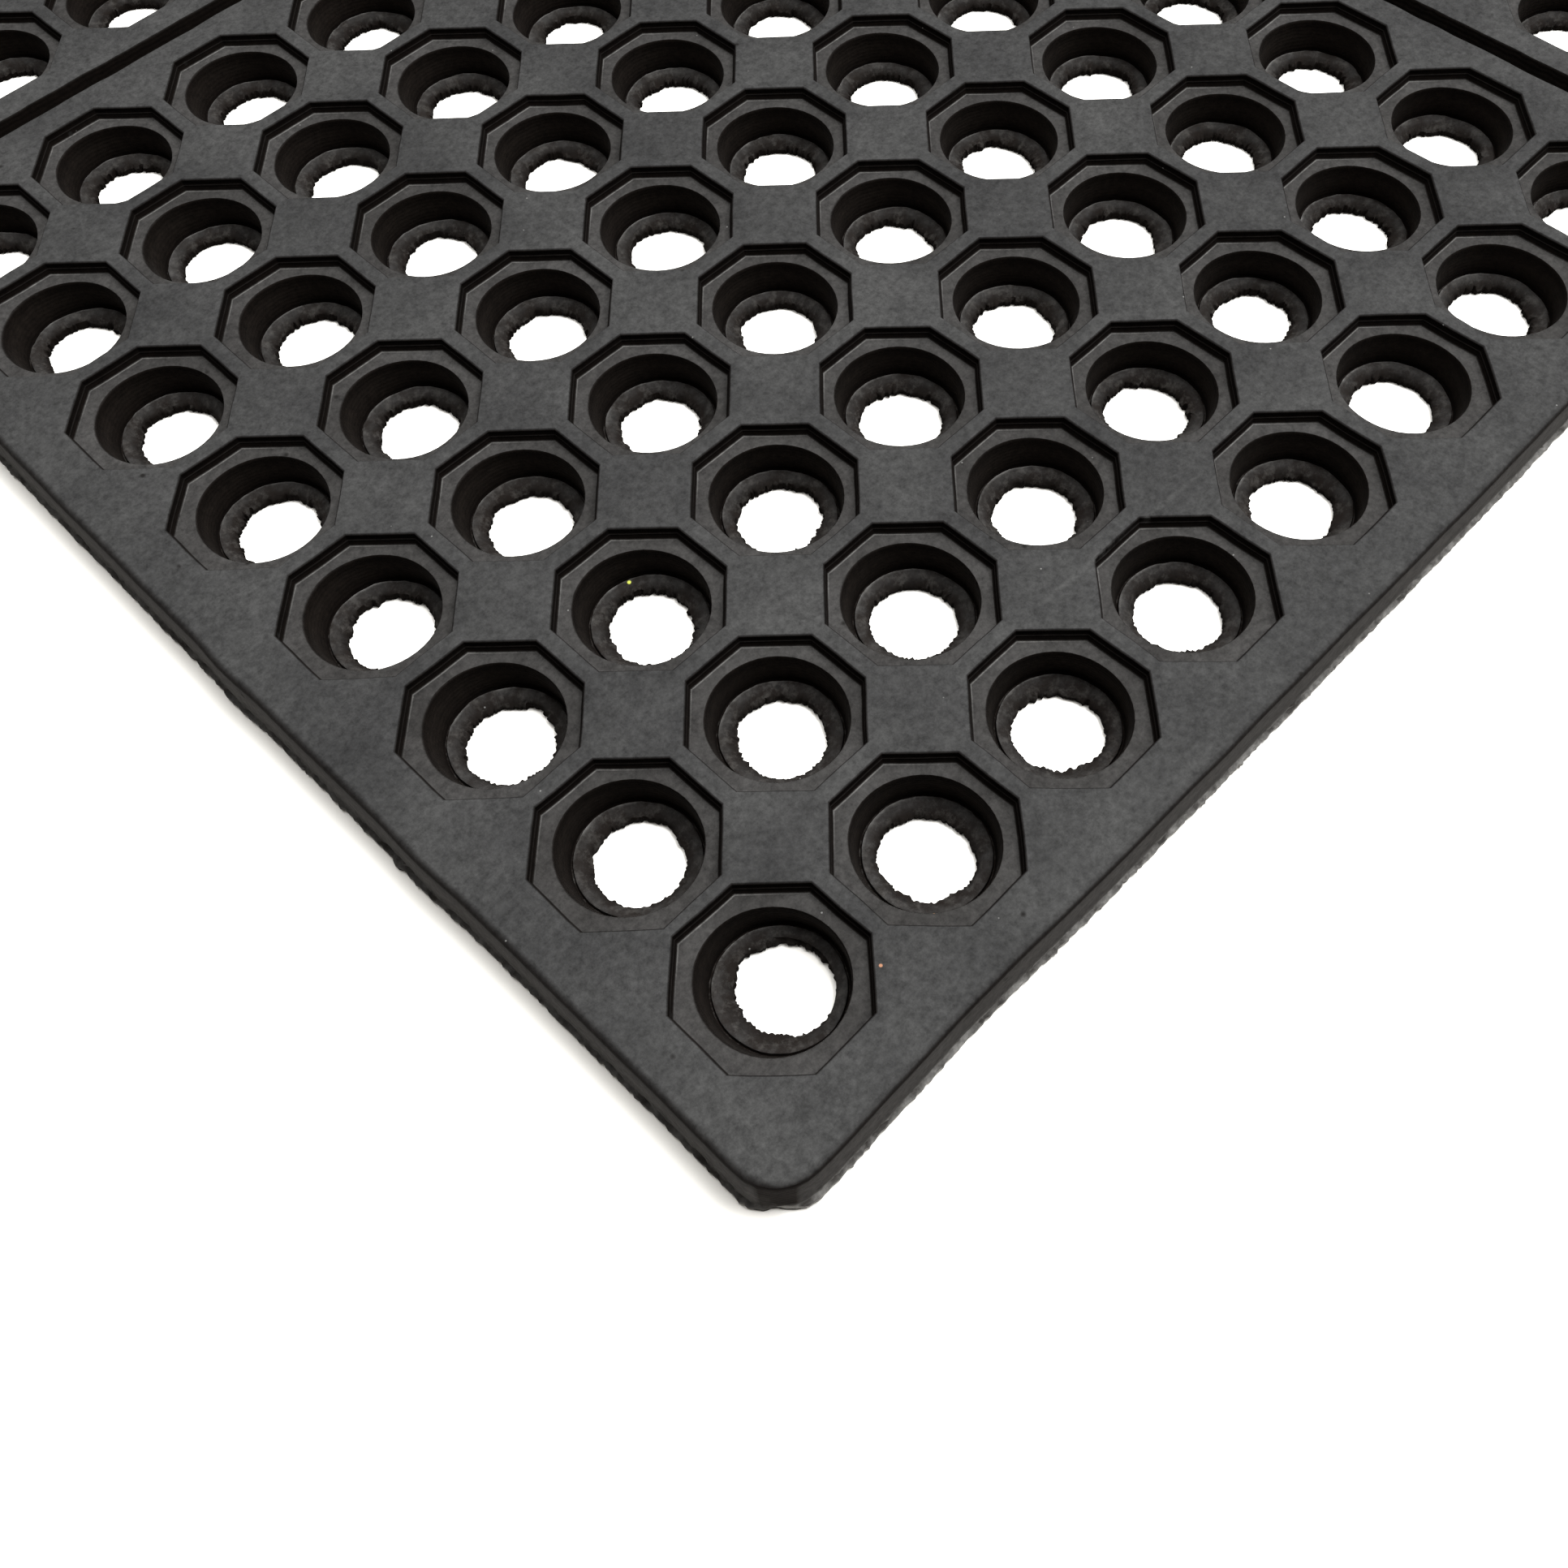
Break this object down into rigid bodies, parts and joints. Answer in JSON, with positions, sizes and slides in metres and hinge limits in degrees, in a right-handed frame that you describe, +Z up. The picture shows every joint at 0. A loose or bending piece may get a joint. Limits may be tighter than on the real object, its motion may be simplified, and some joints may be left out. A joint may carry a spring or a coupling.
{
  "type": "drainage mat",
  "caption": "Square moulded rubber drainage mat: a low black slab with a close grid of octagonal drain cells in blocks, divided by thin grooves.",
  "frame": {"origin": "middle of the mat's flat underside, which rests on the floor", "axes": "+Z up out of the top face; +X and +Y along the two edges of the square mat; the corner seen nearest in the picture points to -X -Y"},
  "size_m": [0.5, 0.5, 0.0106],
  "materials": {
    "rubber": "matt moulded black rubber with a fine grain and a faint satin sheen"
  },
  "bodies": {
    "root": {"rubber_mat": "rubber"}
  },
  "joints": []
}
